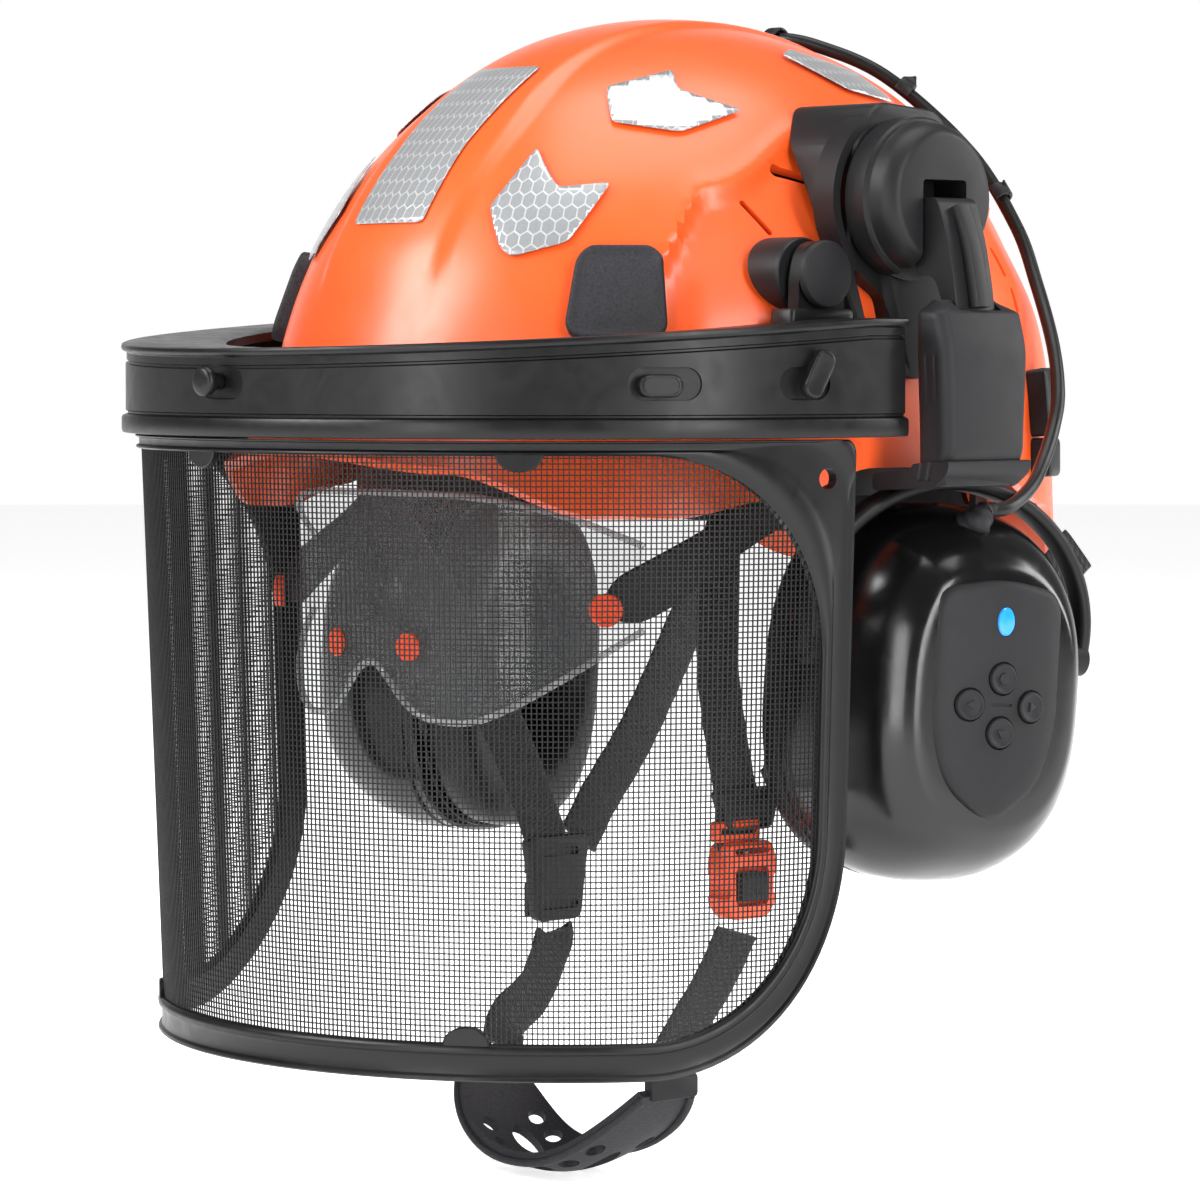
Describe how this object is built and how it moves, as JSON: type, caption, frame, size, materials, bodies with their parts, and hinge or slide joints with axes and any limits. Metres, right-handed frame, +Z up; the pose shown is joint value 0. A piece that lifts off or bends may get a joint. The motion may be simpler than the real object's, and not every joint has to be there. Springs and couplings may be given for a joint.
{
  "type": "forestry helmet",
  "caption": "Safety helmet with flip-up wire mesh visor, clear inner eye shield, swing-out ear muffs with a control panel, and a buckled chin strap.",
  "frame": {"origin": "centre of the head opening, level with the shell's rim above the ears", "axes": "+Z up; the wearer faces -Y; +X is the wearer's left"},
  "size_m": [0.2828, 0.299, 0.332],
  "materials": {
    "shell_orange": "satin fluorescent orange",
    "liner_foam": "matte foam",
    "black_plastic": "semi-gloss moulded",
    "satin_plastic": "fine moulded grain",
    "rubber": "pebbled",
    "webbing": "woven webbing",
    "orange_plastic": "satin",
    "clear_lens": "clear polycarbonate",
    "wire_mesh": "black coated wire",
    "cushion_vinyl": "soft vinyl",
    "led_blue": "lit lens",
    "metal": "plain",
    "circuit_green": "coated board",
    "reflective": "honeycomb reflective film"
  },
  "bodies": {
    "helmet": {"shell": "shell_orange", "liner": "liner_foam", "headband": "satin_plastic", "brow_pad": "liner_foam", "side_pad_left": "rubber", "side_pad_right": "rubber", "carrier_left": "satin_plastic", "carrier_right": "satin_plastic", "visor_pivot_left": "satin_plastic", "visor_pivot_right": "satin_plastic", "rear_clip_left": "satin_plastic", "rear_clip_right": "satin_plastic", "front_strap_left": "webbing", "front_strap_right": "webbing", "rear_strap_left": "webbing", "rear_strap_right": "webbing", "chin_strap_left": "webbing", "chin_strap_right": "webbing", "strap_divider_left": "satin_plastic", "strap_divider_right": "satin_plastic", "buckle_body": "orange_plastic", "chin_cup": "rubber", "link_cable": "rubber"},
    "cradle": {"rear_cradle": "satin_plastic"},
    "knob": {"adjust_knob": "satin_plastic"},
    "visor": {"visor_bracket": "black_plastic", "visor_frame": "black_plastic", "visor_mesh": "wire_mesh", "front_stud": "black_plastic", "side_stud_left": "black_plastic", "side_stud_right": "black_plastic"},
    "visor_lever_l": {"visor_lever_left": "black_plastic"},
    "visor_lever_r": {"visor_lever_right": "black_plastic"},
    "eye_shield": {"shield_lens": "clear_lens", "nose_bridge": "black_plastic", "shield_arm_left": "black_plastic", "shield_arm_right": "black_plastic", "temple_rivet_left": "orange_plastic", "temple_rivet_right": "orange_plastic"},
    "swivel_l": {"swivel_disc_left": "satin_plastic"},
    "swivel_r": {"swivel_disc_right": "satin_plastic"},
    "arm_l": {"muff_arm_left": "satin_plastic"},
    "arm_r": {"muff_arm_right": "satin_plastic"},
    "yoke_l": {"muff_yoke_left": "satin_plastic"},
    "yoke_r": {"muff_yoke_right": "satin_plastic"},
    "muff_l": {"cup_left": "black_plastic", "ear_cushion_left": "cushion_vinyl", "speaker_left": "satin_plastic", "control_panel": "satin_plastic", "status_lamp": "led_blue", "circuit_board": "circuit_green"},
    "muff_r": {"cup_right": "black_plastic", "ear_cushion_right": "cushion_vinyl", "speaker_right": "satin_plastic", "battery": "metal"},
    "key_up": {"button_up": "satin_plastic"},
    "key_down": {"button_down": "satin_plastic"},
    "key_front": {"button_front": "satin_plastic"},
    "key_rear": {"button_rear": "satin_plastic"},
    "release": {"buckle_release": "satin_plastic"}
  },
  "joints": [
    {"name": "visor_flip", "type": "hinge", "parent": "helmet", "child": "visor", "pos_m": [0, -0.038, 0.053], "axis": [-1, 0, 0], "range_deg": [0, 92]},
    {"name": "visor_lever_turn_l", "type": "hinge", "parent": "visor", "child": "visor_lever_l", "pos_m": [0.12713, -0.06242, 0.026], "axis": [0.9848, -0.1736, 0], "range_deg": [0, 90]},
    {"name": "visor_lever_turn_r", "type": "hinge", "parent": "visor", "child": "visor_lever_r", "pos_m": [-0.12713, -0.06242, 0.026], "axis": [-0.9848, -0.1736, 0], "range_deg": [0, 90]},
    {"name": "eye_shield_flip", "type": "hinge", "parent": "helmet", "child": "eye_shield", "pos_m": [0, -0.01, 0.002], "axis": [-1, 0, 0], "range_deg": [0, 14]},
    {"name": "knob_turn", "type": "hinge", "parent": "cradle", "child": "knob", "pos_m": [0, 0.1075, -0.01], "axis": [0, -1, 0], "range_deg": [0, 360]},
    {"name": "cradle_slide", "type": "slide", "parent": "helmet", "child": "cradle", "axis": [0, -1, 0], "range_m": [0, 0.009]},
    {"name": "swivel_l", "type": "hinge", "parent": "helmet", "child": "swivel_l", "pos_m": [0.101, -0.0044, 0.074], "axis": [1, 0, 0], "range_deg": [0, 8]},
    {"name": "swivel_r", "type": "hinge", "parent": "helmet", "child": "swivel_r", "pos_m": [-0.101, -0.0044, 0.074], "axis": [1, 0, 0], "range_deg": [0, 8]},
    {"name": "arm_swing_l", "type": "hinge", "parent": "swivel_l", "child": "arm_l", "pos_m": [0.111, -0.0044, 0.062], "axis": [0, -1, 0], "range_deg": [0, 32], "deforming": ["link_cable"]},
    {"name": "arm_swing_r", "type": "hinge", "parent": "swivel_r", "child": "arm_r", "pos_m": [-0.111, -0.0044, 0.062], "axis": [0, 1, 0], "range_deg": [0, 32]},
    {"name": "height_slide_l", "type": "slide", "parent": "arm_l", "child": "yoke_l", "axis": [0, 0, -1], "range_m": [0, 0.02]},
    {"name": "height_slide_r", "type": "slide", "parent": "arm_r", "child": "yoke_r", "axis": [0, 0, -1], "range_m": [0, 0.02]},
    {"name": "cup_tilt_l", "type": "hinge", "parent": "yoke_l", "child": "muff_l", "pos_m": [0.10899, 0.00517, -0.05203], "axis": [0.225, 0.9744, 0], "range_deg": [-6, 6]},
    {"name": "cup_tilt_r", "type": "hinge", "parent": "yoke_r", "child": "muff_r", "pos_m": [-0.10899, 0.00517, -0.05203], "axis": [-0.225, 0.9744, 0], "range_deg": [-6, 6]},
    {"name": "press_up", "type": "slide", "parent": "muff_l", "child": "key_up", "axis": [-0.9744, 0.225, 0], "range_m": [0, 0.0008], "stiffness_N_per_m": 600},
    {"name": "press_down", "type": "slide", "parent": "muff_l", "child": "key_down", "axis": [-0.9744, 0.225, 0], "range_m": [0, 0.0008], "stiffness_N_per_m": 600},
    {"name": "press_front", "type": "slide", "parent": "muff_l", "child": "key_front", "axis": [-0.9744, 0.225, 0], "range_m": [0, 0.0008], "stiffness_N_per_m": 600},
    {"name": "press_rear", "type": "slide", "parent": "muff_l", "child": "key_rear", "axis": [-0.9744, 0.225, 0], "range_m": [0, 0.0008], "stiffness_N_per_m": 600},
    {"name": "buckle_press", "type": "slide", "parent": "helmet", "child": "release", "axis": [-1, 0, 0], "range_m": [0, 0.0008], "stiffness_N_per_m": 800}
  ],
  "couplings": [
    {"joint": "knob_turn", "follows": "cradle_slide", "rad_per_m": 698.13}
  ]
}
